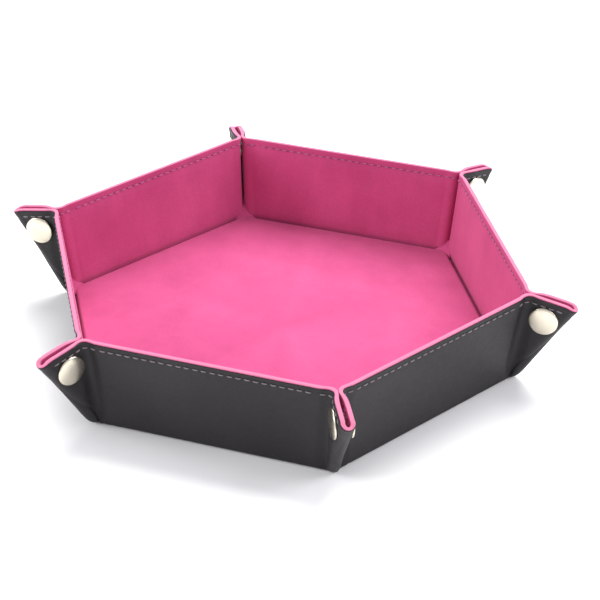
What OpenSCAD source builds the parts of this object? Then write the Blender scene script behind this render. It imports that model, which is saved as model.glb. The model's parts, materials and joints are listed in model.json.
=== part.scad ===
// Folding dice tray with six sides. One flexible sheet, a leather-like cover outside and a suede
// lining inside, is folded up along a hexagon. Each corner of the sheet is pinched into an ear
// and held by a press stud. Stiff boards are sealed between the two skins, under the floor and
// in each wall. Millimetres, +Z up, underside of the floor at z = 0, ears on the +Y and -Y axes.

/* [Floor] */
// distance from the middle of the tray to each fold line
fold_apothem = 85; // [75:1:100]
// thickness of the board under the floor
floor_board = 1.6; // [1:0.1:2.4]
// distance from the edge of the floor board to where the fold begins
floor_board_inset = 3.6; // [3:0.2:8]

/* [Walls] */
// height of a wall measured up its slope, from fold line to rim
wall_rise = 40.6; // [38:0.2:46]
// angle that each wall is folded up from lying flat
wall_angle = 83.5; // [80:0.5:86]
// thickness of the board in each wall
wall_board = 1.2; // [0.8:0.1:1.6]
// distance from the fold line to the lower edge of the wall board
wall_board_foot = 8; // [7:0.5:12]
// distance from the upper edge of the wall board to the rim
wall_board_head = 7.6; // [6:0.2:10]
// distance from each end of the wall board to where the wall end starts to bend
wall_board_end = 3.5; // [3:0.5:8]

/* [Sheet] */
// thickness of the outer cover
cover = 0.75; // [0.6:0.05:1]
// thickness of the inner lining
lining = 1.05; // [0.8:0.05:1.2]
// outside radius of the fold between floor and wall
floor_bend = 3.4; // [3:0.1:4.2]
// outside radius of the bend between a wall and its ears
end_bend = 4.9; // [4.4:0.1:6]
// gap between the two linings inside a pinched ear
ear_gap = 1.9; // [1.7:0.1:2.4]
// radius that rounds the corner of the sheet at the tip of each ear
tip_radius = 12; // [6:1:16]
// width of the sloping edge where the lining steps over a board
ramp = 1.4; // [1:0.1:2]

/* [Press studs] */
// diameter of the cap seen outside
cap_diameter = 12; // [10:0.2:12.4]
// thickness of the cap in the middle
cap_thickness = 1.7; // [1.2:0.1:2.4]
// thickness of the cap at its rim
cap_rim = 0.8; // [0.5:0.1:1]
// diameter of the rivet post through the sheet
post_diameter = 3; // [2.4:0.1:3.6]
// diameter of the socket, and of the flange of the stud, inside the ear
flange_diameter = 9; // [7:0.1:9]
// thickness of the flange of the stud
stud_flange = 0.4; // [0.3:0.05:0.6]
// diameter of the stud
stud_diameter = 3.4; // [2.8:0.1:4]
// height of the stud above its flange
stud_height = 1.2; // [0.8:0.1:1.3]
// distance from the middle of the cap up to the rim
stud_drop = 9.5; // [8:0.5:11]

/* [Clearances] */
// opening between the pieces at each crease
crease_gap = 0.2; // [0.15:0.05:0.3]
// opening between the two halves of an ear along its folded edge
fold_gap = 0.3; // [0.2:0.05:0.4]
// distance that the folded edge is set back, so that its two halves clear each other unfolding
swing_gap = 1; // [1:0.1:1.4]
// radial clearance of the stud in its socket
stud_clearance = 0.3; // [0.25:0.05:0.4]
// radial clearance of the rivet post in the sheet
post_clearance = 0.05; // [0.02:0.01:0.1]
// clearance between the ends of the closed stud and socket
stud_float = 0.1; // [0.05:0.05:0.2]

/* [Hidden] */
$fn = 96;
sides = 6;
half_turn = 180 / sides;
sheet = cover + lining;
corner_radius = fold_apothem / cos(half_turn);
wall_half = fold_apothem * tan(half_turn);
reach = 2 * wall_rise;
// length that flat pieces of one skin share, so that they join
lap = 2;
// depth that two curved pieces of one skin run into each other
touch = 0.02;

// fold between floor and wall
floor_run = floor_bend * tan(wall_angle / 2);
floor_flat = fold_apothem - floor_run;
floor_taken = 2 * floor_run - floor_bend * wall_angle * PI / 180;
floor_slit = crease_gap / 2 / floor_bend * 180 / PI;

// bend between wall and ear, and the lean of its axis
leaf_bend = acos(sin(half_turn) * sin(wall_angle));
leaf_tilt = atan(cos(wall_angle) / (cos(half_turn) * sin(wall_angle)));
leaf_lean = asin(sin(leaf_tilt) * sin(half_turn));
end_run = end_bend * tan(leaf_bend / 2);
end_taken = 2 * end_run - end_bend * leaf_bend * PI / 180;
end_slit = crease_gap / 2 / end_bend * 180 / PI;
end_axis_y = ear_gap / 2 + end_bend;

// where the lining faces of wall and ear would meet, at floor level
meet_up = -sheet * cos(wall_angle) / sin(wall_angle);
meet_along = (ear_gap / 2 + sheet * sin(half_turn) * sin(wall_angle)
              - meet_up * cos(wall_angle) * sin(half_turn)) / cos(half_turn);
leaf_x = -sheet * cos(half_turn) * sin(wall_angle) - meet_along * sin(half_turn)
         + meet_up * cos(wall_angle) * cos(half_turn);

// folded edge of an ear and its rim, as lines in the plane of the ear
fold_lean = half_turn - leaf_lean;
fold_r = ear_gap / 2 + sheet;
fold_shift = cos(half_turn) * meet_along + sin(half_turn) * (meet_up - floor_taken);
fold_start = end_taken + (fold_shift - swing_gap) / cos(fold_lean);
tube_start = fold_start - fold_r / cos(fold_lean);
function fold_at(z) = fold_start + z * tan(fold_lean);
function tube_at(z) = tube_start + z * tan(fold_lean);
function rim_at(x) = (wall_rise - meet_up + (x - end_taken) * sin(leaf_lean)) / cos(leaf_lean);

// tip of an ear and the centre of its rounding
tip_z = (wall_rise - meet_up + (fold_start - end_taken) * sin(leaf_lean))
        / (cos(leaf_lean) - tan(fold_lean) * sin(leaf_lean));
along_fold = [sin(fold_lean), cos(fold_lean)];
across_fold = [-cos(fold_lean), sin(fold_lean)];
tip_centre = [fold_at(tip_z), tip_z] - along_fold * tip_radius / cos(half_turn);
ear_foot = floor_run + crease_gap + sheet / 4;
ear_outline = concat(
    [[-reach, ear_foot], [fold_at(ear_foot) + 1, ear_foot],
     tip_centre + tip_radius * along_fold - across_fold],
    [for (a = [0 : 3 : half_turn])
        tip_centre + tip_radius * (cos(a) * along_fold + sin(a) * across_fold)],
    [[-reach, rim_at(-reach)]]);

// press stud, set beside the end bend
stud_x = end_run + cap_diameter / 2 + 0.2;
stud_z = rim_at(stud_x) - stud_drop;
socket_depth = ear_gap - stud_flange - stud_float;
cap_rise = cap_thickness - cap_rim;
cap_dome = (pow(cap_diameter / 2, 2) + pow(cap_rise, 2)) / (2 * cap_rise);

// boards
floor_board_apothem = floor_flat - floor_board_inset;
lip = 0.7 * lining;
board_low = wall_board_foot;
board_high = wall_rise - wall_board_head;
function wall_end(u) = meet_along + end_run * cos(leaf_lean)
                       - (u - meet_up - end_run * sin(leaf_lean)) * tan(leaf_lean);
board_half = wall_half - wall_end(board_low) - wall_board_end;

cover_colour = [0.26, 0.24, 0.25];
lining_colour = [0.95, 0.38, 0.62];
board_colour = [0.62, 0.52, 0.40];
metal_colour = [0.85, 0.81, 0.74];

// ---------- frames ----------

// wall k stands across this frame's +X axis
module at_wall(k) {
    rotate([0, 0, (2 * k - 4) * half_turn]) children();
}

// corner k lies on this frame's +X axis, between wall k and wall k + 1
module at_corner(k) {
    rotate([0, 0, (2 * k - 3) * half_turn]) translate([corner_radius, 0, 0]) children();
}

// plane of half an ear: X outward across the ear, Y away from its twin, Z along the end bend
module in_ear() {
    translate([leaf_x, 0, 0]) rotate([0, leaf_tilt, 0]) children();
}

// half "a" of an ear mirrors half "b"
module ear_half(half) {
    mirror([0, half == "a" ? 1 : 0, 0]) children();
}

// plane of a wall: X up the wall, Y along it, Z inward from the face of the cover
module in_wall() {
    translate([fold_apothem, 0, 0]) rotate([0, -wall_angle, 0]) children();
}

// outline drawn in X and Z, carried along Y
module side_view(near, far) {
    translate([0, far, 0]) rotate([90, 0, 0]) linear_extrude(far - near) children();
}

// ---------- floor ----------

module hexagon(apothem, low, high) {
    translate([0, 0, low]) rotate([0, 0, half_turn])
        cylinder(r = apothem / cos(half_turn), h = high - low, $fn = sides);
}

// wedge of the plan that belongs to one side, set back from its neighbours by gap
module side_wedge(gap) {
    far = corner_radius + reach;
    translate([0, 0, -1]) linear_extrude(reach)
        polygon([[gap / sin(half_turn), 0],
                 [far, gap / cos(half_turn) - far * tan(half_turn)],
                 [far, far * tan(half_turn) - gap / cos(half_turn)]]);
}

// space between two opposite folds, down to a depth from the cover, each fold swept by an angle
module fold_pair(depth, top, sweep) {
    translate([-floor_flat, -corner_radius, depth])
        cube([2 * floor_flat, 2 * corner_radius, top - depth]);
    for (end = [0, 1]) mirror([end, 0, 0]) translate([floor_flat, 0, floor_bend])
        rotate([90, 0, 0]) rotate([0, 0, -90]) rotate_extrude(angle = sweep)
            translate([0, -corner_radius]) square([floor_bend - depth, 2 * corner_radius]);
}

module bowl(depth, top, sweep) {
    intersection() {
        fold_pair(depth, top, sweep);
        rotate([0, 0, 2 * half_turn]) fold_pair(depth, top, sweep);
        rotate([0, 0, -2 * half_turn]) fold_pair(depth, top, sweep);
    }
}

// one skin of the floor, with the inner half of each fold
module base_layer(outer, inner) {
    difference() {
        bowl(outer, floor_bend, wall_angle / 2 - floor_slit);
        bowl(inner, floor_bend + 1, 90);
    }
}

module base_cover() {
    color(cover_colour) base_layer(0, cover);
}

module base_board() {
    color(board_colour) hexagon(floor_board_apothem, cover, cover + floor_board);
}

// bar with two sloping sides, as wide as the raised part of the floor
module pillow_bar() {
    half = floor_board_apothem + lip;
    top = sheet + floor_board;
    side_view(-corner_radius, corner_radius)
        polygon([[-half - ramp, cover], [-half - ramp, sheet], [-half, top],
                 [half, top], [half + ramp, sheet], [half + ramp, cover]]);
}

module base_lining() {
    color(lining_colour) difference() {
        union() {
            base_layer(cover, sheet);
            intersection() {
                pillow_bar();
                rotate([0, 0, 2 * half_turn]) pillow_bar();
                rotate([0, 0, -2 * half_turn]) pillow_bar();
            }
        }
        hexagon(floor_board_apothem, 0, cover + floor_board);
    }
}

// ---------- walls ----------

// outer half of the fold along the foot of the wall across +X
module foot_strip(outer, inner) {
    sweep = wall_angle / 2 - floor_slit;
    in_wall() translate([floor_run, 0, floor_bend]) rotate([-90, 0, 0])
        rotate([0, 0, 90]) rotate_extrude(angle = sweep)
            translate([floor_bend - inner, -wall_half]) square([inner - outer, 2 * wall_half]);
}

// clockwise end of the wall across +X, flat and then rounded up to the middle of its bend
module end_strip(outer, inner) {
    sweep = leaf_bend / 2 - end_slit;
    translate([meet_up + end_run * sin(leaf_lean),
               meet_along + end_run * cos(leaf_lean) - wall_half, 0]) rotate([0, 0, -leaf_lean]) {
        translate([-reach / 2, 0, outer]) cube([2 * reach, 2 * lap, inner - outer]);
        translate([-reach / 2, 0, sheet - end_bend]) rotate([90, 0, 90]) rotate([0, 0, 90])
            rotate_extrude(angle = sweep) translate([end_bend - sheet + outer, 0])
                square([inner - outer, 2 * reach]);
    }
}

// one skin of the wall across +X; outer and inner are depths from the face of the cover
module wall_layer(outer, inner) {
    foot_half = wall_half - wall_end(floor_run) - lap;
    head_half = wall_half - wall_end(wall_rise) - lap;
    intersection() {
        foot_strip(outer, inner);
        side_wedge(fold_gap / 2);
    }
    in_wall() {
        translate([0, 0, outer]) linear_extrude(inner - outer)
            polygon([[floor_run, -foot_half], [wall_rise, -head_half],
                     [wall_rise, head_half], [floor_run, foot_half]]);
        intersection() {
            union() {
                end_strip(outer, inner);
                mirror([0, 1, 0]) end_strip(outer, inner);
            }
            translate([floor_run, -wall_half - reach, -reach / 2])
                cube([wall_rise - floor_run, 2 * (wall_half + reach), reach]);
        }
    }
}

module wall_cover(k) {
    color(cover_colour) at_wall(k) wall_layer(0, cover);
}

// block as wide as a wall board, from a depth up to the face of the board
module board_block(depth) {
    in_wall() translate([board_low, -board_half, depth])
        cube([board_high - board_low, 2 * board_half, cover + wall_board - depth]);
}

module wall_board(k) {
    color(board_colour) at_wall(k) board_block(cover);
}

// raised part of the lining over a wall board, sloping on all four sides
module board_pillow() {
    top = sheet + wall_board;
    low = board_low - lip;
    high = board_high + lip;
    half = board_half + lip;
    in_wall() intersection() {
        side_view(-wall_half, wall_half)
            polygon([[low - ramp, cover], [low - ramp, sheet], [low, top],
                     [high, top], [high + ramp, sheet], [high + ramp, cover]]);
        rotate([90, 0, 90]) linear_extrude(reach)
            polygon([[-half - ramp, cover], [-half - ramp, sheet], [-half, top],
                     [half, top], [half + ramp, sheet], [half + ramp, cover]]);
    }
}

module wall_lining(k) {
    color(lining_colour) at_wall(k) difference() {
        union() {
            wall_layer(cover, sheet);
            board_pillow();
        }
        board_block(0);
    }
}

// ---------- ears ----------

module at_stud() {
    translate([stud_x, 0, stud_z]) rotate([-90, 0, 0]) children();
}

// one skin of half an ear; outer and inner are depths from the face of the cover
module ear_layer(outer, inner) {
    in_ear() difference() {
        intersection() {
            side_view(fold_gap / 2, reach) polygon(ear_outline);
            translate([end_run, end_axis_y, 0]) rotate([0, 0, -90 - leaf_bend / 2 + end_slit])
                translate([-reach, 0, 0]) cube([2 * reach, reach, reach]);
            union() {
                translate([tube_start, 0, 0]) rotate([0, fold_lean, 0])
                    rotate_extrude(angle = 90) translate([fold_r - inner, 0])
                        square([inner - outer, reach]);
                intersection() {
                    side_view(0, reach)
                        polygon([[-reach, 0], [tube_at(0) + touch, 0],
                                 [tube_at(reach) + touch, reach], [-reach, reach]]);
                    union() {
                        translate([end_run, end_axis_y, 0])
                            rotate([0, 0, -90 - leaf_bend / 2 + end_slit])
                                rotate_extrude(angle = leaf_bend / 2 - end_slit)
                                    translate([end_bend - sheet + outer, 0])
                                        square([inner - outer, reach]);
                        translate([end_run, fold_r - inner, 0])
                            cube([reach, inner - outer, reach]);
                    }
                }
            }
        }
        at_stud() cylinder(d = post_diameter + 2 * post_clearance, h = 2 * fold_r);
    }
}

module ear_cover(k, half) {
    color(cover_colour) at_corner(k) ear_half(half) ear_layer(0, cover);
}

module ear_lining(k, half) {
    color(lining_colour) at_corner(k) ear_half(half) ear_layer(cover, sheet);
}

// ---------- press studs ----------

// cap outside the ear and the post that rivets it to the part inside
module capped_post() {
    translate([0, 0, fold_r]) intersection() {
        cylinder(d = cap_diameter, h = cap_thickness);
        translate([0, 0, cap_thickness - cap_dome]) sphere(r = cap_dome);
    }
    translate([0, 0, ear_gap / 2]) cylinder(d = post_diameter, h = sheet + cap_rim / 2);
}

module press_socket(k) {
    mouth = ear_gap / 2 - socket_depth;
    color(metal_colour) at_corner(k) in_ear() at_stud() difference() {
        union() {
            capped_post();
            translate([0, 0, mouth]) cylinder(d = flange_diameter, h = socket_depth);
        }
        translate([0, 0, mouth - 1])
            cylinder(d = stud_diameter + 2 * stud_clearance, h = 1 + stud_height);
    }
}

module press_stud(k) {
    color(metal_colour) at_corner(k) ear_half("a") in_ear() at_stud() {
        capped_post();
        translate([0, 0, ear_gap / 2 - stud_flange])
            cylinder(d = flange_diameter, h = stud_flange);
        translate([0, 0, ear_gap / 2 - stud_flange - stud_height])
            cylinder(d = stud_diameter, h = stud_height);
    }
}

// ---------- the tray ----------

base_cover();
base_lining();
base_board();
wall_cover(1);  // wall_cover_1
wall_cover(2);  // wall_cover_2
wall_cover(3);  // wall_cover_3
wall_cover(4);  // wall_cover_4
wall_cover(5);  // wall_cover_5
wall_cover(6);  // wall_cover_6
wall_lining(1);  // wall_lining_1
wall_lining(2);  // wall_lining_2
wall_lining(3);  // wall_lining_3
wall_lining(4);  // wall_lining_4
wall_lining(5);  // wall_lining_5
wall_lining(6);  // wall_lining_6
wall_board(1);  // wall_board_1
wall_board(2);  // wall_board_2
wall_board(3);  // wall_board_3
wall_board(4);  // wall_board_4
wall_board(5);  // wall_board_5
wall_board(6);  // wall_board_6
ear_cover(1, "a");  // ear_cover_1a
ear_cover(1, "b");  // ear_cover_1b
ear_cover(2, "a");  // ear_cover_2a
ear_cover(2, "b");  // ear_cover_2b
ear_cover(3, "a");  // ear_cover_3a
ear_cover(3, "b");  // ear_cover_3b
ear_cover(4, "a");  // ear_cover_4a
ear_cover(4, "b");  // ear_cover_4b
ear_cover(5, "a");  // ear_cover_5a
ear_cover(5, "b");  // ear_cover_5b
ear_cover(6, "a");  // ear_cover_6a
ear_cover(6, "b");  // ear_cover_6b
ear_lining(1, "a");  // ear_lining_1a
ear_lining(1, "b");  // ear_lining_1b
ear_lining(2, "a");  // ear_lining_2a
ear_lining(2, "b");  // ear_lining_2b
ear_lining(3, "a");  // ear_lining_3a
ear_lining(3, "b");  // ear_lining_3b
ear_lining(4, "a");  // ear_lining_4a
ear_lining(4, "b");  // ear_lining_4b
ear_lining(5, "a");  // ear_lining_5a
ear_lining(5, "b");  // ear_lining_5b
ear_lining(6, "a");  // ear_lining_6a
ear_lining(6, "b");  // ear_lining_6b
press_socket(1);  // press_socket_1
press_socket(2);  // press_socket_2
press_socket(3);  // press_socket_3
press_socket(4);  // press_socket_4
press_socket(5);  // press_socket_5
press_socket(6);  // press_socket_6
press_stud(1);  // press_stud_1
press_stud(2);  // press_stud_2
press_stud(3);  // press_stud_3
press_stud(4);  // press_stud_4
press_stud(5);  // press_stud_5
press_stud(6);  // press_stud_6
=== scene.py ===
"""Folding dice tray: one sheet of leather-like cover and suede lining, folded up into a hexagon,
with six ears pinched shut by press studs. Lengths are in millimetres up to the last step."""

import json
import math
import random

import bpy
import numpy as np
from mathutils import Matrix, Vector

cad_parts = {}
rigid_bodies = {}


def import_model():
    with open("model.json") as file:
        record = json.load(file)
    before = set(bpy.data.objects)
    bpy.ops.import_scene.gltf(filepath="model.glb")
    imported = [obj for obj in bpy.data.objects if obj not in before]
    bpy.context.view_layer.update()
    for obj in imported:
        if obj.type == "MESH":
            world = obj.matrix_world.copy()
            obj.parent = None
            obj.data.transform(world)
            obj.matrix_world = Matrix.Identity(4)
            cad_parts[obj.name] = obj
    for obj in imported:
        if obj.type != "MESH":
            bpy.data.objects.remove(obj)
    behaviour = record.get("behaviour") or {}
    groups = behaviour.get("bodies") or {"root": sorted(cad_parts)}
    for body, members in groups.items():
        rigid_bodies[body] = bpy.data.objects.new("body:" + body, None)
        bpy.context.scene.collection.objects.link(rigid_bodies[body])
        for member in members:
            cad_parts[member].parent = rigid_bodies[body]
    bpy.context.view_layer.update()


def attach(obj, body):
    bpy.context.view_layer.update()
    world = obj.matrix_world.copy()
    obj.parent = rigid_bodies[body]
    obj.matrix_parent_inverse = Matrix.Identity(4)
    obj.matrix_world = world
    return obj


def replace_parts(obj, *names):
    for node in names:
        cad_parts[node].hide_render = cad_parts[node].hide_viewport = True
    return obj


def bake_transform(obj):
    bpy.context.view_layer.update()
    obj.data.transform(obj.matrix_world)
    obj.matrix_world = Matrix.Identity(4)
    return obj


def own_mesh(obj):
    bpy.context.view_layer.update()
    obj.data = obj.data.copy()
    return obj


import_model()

MM = 0.001
HALF_TURN = math.radians(30)
COS30, SIN30 = math.cos(HALF_TURN), math.sin(HALF_TURN)

# ---------- sizes, the same as the solids ----------
APOTHEM = 85.0
RISE = 40.6
LIFT = math.radians(83.5)
COVER = 0.75
LINING = 1.05
SHEET = COVER + LINING
FLOOR_BEND = 3.4
END_BEND = 4.9
EAR_GAP = 1.9
TIP_RADIUS = 12.0
FLOOR_BOARD = 1.6
SWING_GAP = 1.0
CAP_WIDTH = 12.0
CAP_THICK = 1.7
STUD_DROP = 9.5

CORNER = APOTHEM / COS30
WALL_HALF = APOTHEM * math.tan(HALF_TURN)
FLOOR_RUN = FLOOR_BEND * math.tan(LIFT / 2)
FLOOR_TAKEN = 2 * FLOOR_RUN - FLOOR_BEND * LIFT
LEAF_BEND = math.acos(SIN30 * math.sin(LIFT))
LEAF_TILT = math.atan(math.cos(LIFT) / (COS30 * math.sin(LIFT)))
LEAF_LEAN = math.asin(math.sin(LEAF_TILT) * SIN30)
END_RUN = END_BEND * math.tan(LEAF_BEND / 2)
END_TAKEN = 2 * END_RUN - END_BEND * LEAF_BEND
MEET_UP = -SHEET * math.cos(LIFT) / math.sin(LIFT)
MEET_ALONG = (EAR_GAP / 2 + SHEET * SIN30 * math.sin(LIFT) - MEET_UP * math.cos(LIFT) * SIN30) / COS30
LEAF_X = -SHEET * COS30 * math.sin(LIFT) - MEET_ALONG * SIN30 + MEET_UP * math.cos(LIFT) * COS30
FOLD_LEAN = HALF_TURN - LEAF_LEAN
FOLD_R = EAR_GAP / 2 + SHEET
FOLD_SHIFT = COS30 * MEET_ALONG + SIN30 * (MEET_UP - FLOOR_TAKEN)
FOLD_START = END_TAKEN + (FOLD_SHIFT - SWING_GAP) / math.cos(FOLD_LEAN)
TUBE_START = FOLD_START - FOLD_R / math.cos(FOLD_LEAN)
TIP_Z = (RISE - MEET_UP + (FOLD_START - END_TAKEN) * math.sin(LEAF_LEAN)) / (
    math.cos(LEAF_LEAN) - math.tan(FOLD_LEAN) * math.sin(LEAF_LEAN)
)
TIP_CX = FOLD_START + TIP_Z * math.tan(FOLD_LEAN) - TIP_RADIUS * math.sin(FOLD_LEAN) / COS30
TIP_CZ = TIP_Z - TIP_RADIUS * math.cos(FOLD_LEAN) / COS30

# pivots of the folds: wall over floor, and ear over wall
FOLD_X, FOLD_Z = APOTHEM - FLOOR_TAKEN / 2, FLOOR_TAKEN / 2 / math.tan(LIFT / 2)
EAR_P, EAR_Q = END_TAKEN / 2, EAR_GAP / 2 + END_TAKEN / 2 / math.tan(LEAF_BEND / 2)

# half lengths along the sheet over which each fold turns
FLOOR_SPREAD = 2.3
EAR_SPREAD = 4.6
# height over which the bend at a wall end fades out towards the floor
FOOT_FADE = 6.0
# line across the wall end where the ear's own piece begins, and the height where it begins
EAR_SEAM = -5.6
EAR_FOOT = 0.22
# how far the soft folded edge comes out past the ear's rigid part, to meet the fold line
NOSE_OUT = SWING_GAP / math.cos(FOLD_LEAN)
# width of the cut edge that shows the lining, and how far the cover stops short of it
EDGE = 0.55
# radius that rounds the rim of a skin
ROUNDING = 0.26
# depth where the lining begins, just clear of the cover, and where it begins at the rim, as it
# wraps round the cover's edge
LINING_FROM = COVER + 0.01
RIM_DEPTH = 0.14
# distance of the seam from the edge of the sheet, and how deep in its face the stitches run
STITCH_LINE = 3.0
STITCH_SINK = 0.10


def ease(t):
    """Smooth step from 0 to 1."""
    t = np.clip(t, 0.0, 1.0)
    return t * t * (3 - 2 * t)


def bump(t, middle, width):
    """Smooth bump that is 1 at its middle."""
    return np.exp(-(((t - middle) / width) ** 2))


def spin(x, y, angle):
    """Turns (x, y) about the origin."""
    c, s = np.cos(angle), np.sin(angle)
    return c * x - s * y, s * x + c * y


def solve_share(share_at):
    """The share w of a fold's turn at which a point lies where the fold's own easing gives w."""
    low = np.zeros_like(share_at(0.5))
    high = low + 1
    for _ in range(34):
        w = (low + high) / 2
        more = share_at(w) > w
        low, high = np.where(more, w, low), np.where(more, high, w)
    return (low + high) / 2


def fold_floor(out, depth):
    """Cross-section of floor, fold and wall. out is the distance of the flat sheet's point from the
    middle of the tray; returns radius, height and share of the fold."""
    fx, fz = out - FOLD_X, depth - FOLD_Z
    span = FLOOR_SPREAD * math.cos(LIFT / 2)

    def share_at(w):
        vx, vz = spin(fx, fz, w * LIFT)
        return ease((vx * math.cos(LIFT / 2) + vz * math.sin(LIFT / 2) + span) / (2 * span))

    w = solve_share(share_at)
    x, z = spin(fx, fz, w * LIFT)
    return FOLD_X + x, FOLD_Z + z, w


def wall_flat(up):
    """Distance from the middle of the flat sheet of a point that is up the wall from the fold line."""
    return up + APOTHEM - FLOOR_TAKEN


def wall_point(along, up, depth):
    """Point of the wall across +X, with its fold."""
    x, z, _ = fold_floor(wall_flat(up), depth)
    return np.stack([x, along + 0 * x, z], -1)


def ear_bend(p, r, depth):
    """Bend from wall to ear, in the frame of the ear: p across it, r up it. Returns p and q."""
    gp, gq = p - EAR_P, FOLD_R - depth - EAR_Q
    span = EAR_SPREAD * math.cos(LEAF_BEND / 2)

    def share_at(w):
        vp, vq = spin(gp, gq, (w - 1) * LEAF_BEND)
        return ease((vp * math.cos(LEAF_BEND / 2) - vq * math.sin(LEAF_BEND / 2) + span) / (2 * span))

    w = solve_share(share_at) * ease(r / FOOT_FADE)
    p, q = spin(gp, gq, (w - 1) * LEAF_BEND)
    return EAR_P + p, EAR_Q + q


def up_of(p, r):
    """Height up the wall's flat sheet of a point given in the frame of the ear."""
    return MEET_UP + r * math.cos(LEAF_LEAN) - (p - END_TAKEN) * math.sin(LEAF_LEAN)


def seam_r(up):
    """Height in the ear of the seam between the wall's own piece and the ear's."""
    return (up - MEET_UP + (EAR_SEAM - END_TAKEN) * math.sin(LEAF_LEAN)) / math.cos(LEAF_LEAN)


def seam_half(up):
    """Half length of the wall's own piece at a height."""
    r = seam_r(up)
    sigma = MEET_ALONG - r * math.sin(LEAF_LEAN) - (EAR_SEAM - END_TAKEN) * math.cos(LEAF_LEAN)
    return WALL_HALF - sigma


def rim_line(p):
    """Height in the ear of its straight rim."""
    return (RISE - MEET_UP + (p - END_TAKEN) * math.sin(LEAF_LEAN)) / math.cos(LEAF_LEAN)


def rim_r(p):
    """Top edge of the ear: the rim, then the rounded tip, which droops a little."""
    arc = TIP_CZ + np.sqrt(np.maximum(TIP_RADIUS**2 - (p - TIP_CX) ** 2, 0.01))
    start = TIP_CX - TIP_RADIUS * math.sin(LEAF_LEAN)
    return np.where(p > start, arc, rim_line(p)) - ease((p - 5) / 13)


def ear_curve(a, r, depth):
    """Level section of half an ear at r. a runs from 0 at the wall to 1 where the loop along the
    folded edge begins, and to 2 at the folded edge itself. Returns p and q."""
    a, r = np.broadcast_arrays(np.asarray(a, float), np.asarray(r, float))
    start = np.minimum(TUBE_START + r * math.tan(FOLD_LEAN), 60.0)
    t = np.clip(a, 0, 1)
    p, q = ear_bend(EAR_SEAM + t * (start - EAR_SEAM), r, depth)
    # direction of the sheet where the loop begins
    p1, q1 = ear_bend(start, r, depth)
    p0, q0 = ear_bend(start - 0.05, r, depth)
    d = np.hypot(p1 - p0, q1 - q0)
    tp, tq = (p1 - p0) / d, (q1 - q0) / d
    # a slight swell, as the sheet springs open along the loop
    swell = 0.10 * ease((r - 8) / 20) + 0.10 * ease((r - 30) / 8)
    tp, tq = spin(tp, tq, swell)
    nose = FOLD_START + NOSE_OUT - 0.02 + r * math.tan(FOLD_LEAN) - depth
    reach = 0.56 * np.maximum(nose - p1, 0.3)
    side = 0.60 * np.maximum(q1, 0.2)
    u = np.clip(a - 1, 0, 1)
    b0, b1, b2, b3 = (1 - u) ** 3, 3 * u * (1 - u) ** 2, 3 * u * u * (1 - u), u**3
    lp = b0 * p1 + b1 * (p1 + tp * reach) + b2 * nose + b3 * nose
    lq = b0 * q1 + b1 * (q1 + tq * reach) + b2 * side
    return np.where(a > 1, lp, p), np.where(a > 1, lq, q)


def from_ear(p, q, r):
    """Point across the ear, out of it and up it, given in the frame of the corner."""
    x = LEAF_X + p * math.cos(LEAF_TILT) + r * math.sin(LEAF_TILT)
    z = -p * math.sin(LEAF_TILT) + r * math.cos(LEAF_TILT)
    return np.stack(np.broadcast_arrays(x, q, z), -1)


def ear_point(a, r, depth):
    """Point of half an ear on the +Y side of its corner, in the frame of the corner."""
    p, q = ear_curve(a, r, depth)
    flat_p = flat_across(a, r) + np.clip(a - 1, 0, 1) * 3.0
    # the two sheets are pinched together where the top edge turns into the ear
    q = q - 0.6 * bump(flat_p, 3.0, 3.2) * ease((r - 36) / 5)
    x, y, z = np.moveaxis(from_ear(p, q, r), -1, 0)
    # near the floor the sheet has not yet turned up all the way
    _, _, w = fold_floor(wall_flat(up_of(flat_p, r)), depth)
    out, side = spin(x + CORNER, y, -HALF_TURN)
    out, up = spin(out - FOLD_X, z - FOLD_Z, (w - 1) * LIFT)
    x, y = spin(out + FOLD_X, side, HALF_TURN)
    return round_foot(np.stack([x - CORNER, np.maximum(y, 0.0), up + FOLD_Z], -1))


def round_foot(points):
    """Draws in the bottom corner, given in the frame of that corner, so that it is rounded."""
    x, y, z = points[..., 0], points[..., 1], points[..., 2]
    draw = (1 - ease(np.abs(y) / 5.5)) * ease((x + 6.0) / 4.5) * (1 - ease((z - 1.0) / 5.0))
    return np.stack([x - 1.1 * draw, y, z], -1)


def flat_across(a, r):
    """Distance across the ear's flat sheet, before the bend at the wall is taken."""
    start = TUBE_START + r * math.tan(FOLD_LEAN)
    return EAR_SEAM + np.clip(a, 0, 1) * (start - EAR_SEAM)


def ear_top(a):
    """Height in the ear of its top edge."""
    r = np.full(np.shape(a), 38.0)
    for _ in range(12):
        p, _ = ear_curve(a, r, 0.0)
        r = rim_r(np.where(np.asarray(a) <= 1, flat_across(a, r), p))
    return r


def ear_r(a, share, drop):
    """Height in the ear of a point a share of the way from the floor to a drop below its top edge."""
    return EAR_FOOT + share * (ear_top(a) - drop - EAR_FOOT)


def turned(points, angle):
    """Points turned about the tray's upright axis."""
    x, y = spin(points[..., 0], points[..., 1], angle)
    return np.stack([x, y, points[..., 2]], -1)


def at_wall(k, points):
    """From the frame of a wall that stands across +X to the place of wall k."""
    return turned(points, (2 * k - 4) * HALF_TURN)


def at_corner(k, points, half="b"):
    """From the frame of a corner to the place of corner k. Half a is the mirror image of half b."""
    mirror = 1 if half == "b" else -1
    placed = np.stack([points[..., 0] + CORNER, points[..., 1] * mirror, points[..., 2]], -1)
    return turned(placed, (2 * k - 3) * HALF_TURN)


# ---------- meshes ----------


def put(name, data):
    """New object in the scene."""
    obj = bpy.data.objects.new(name, data)
    bpy.context.scene.collection.objects.link(obj)
    return obj


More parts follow.
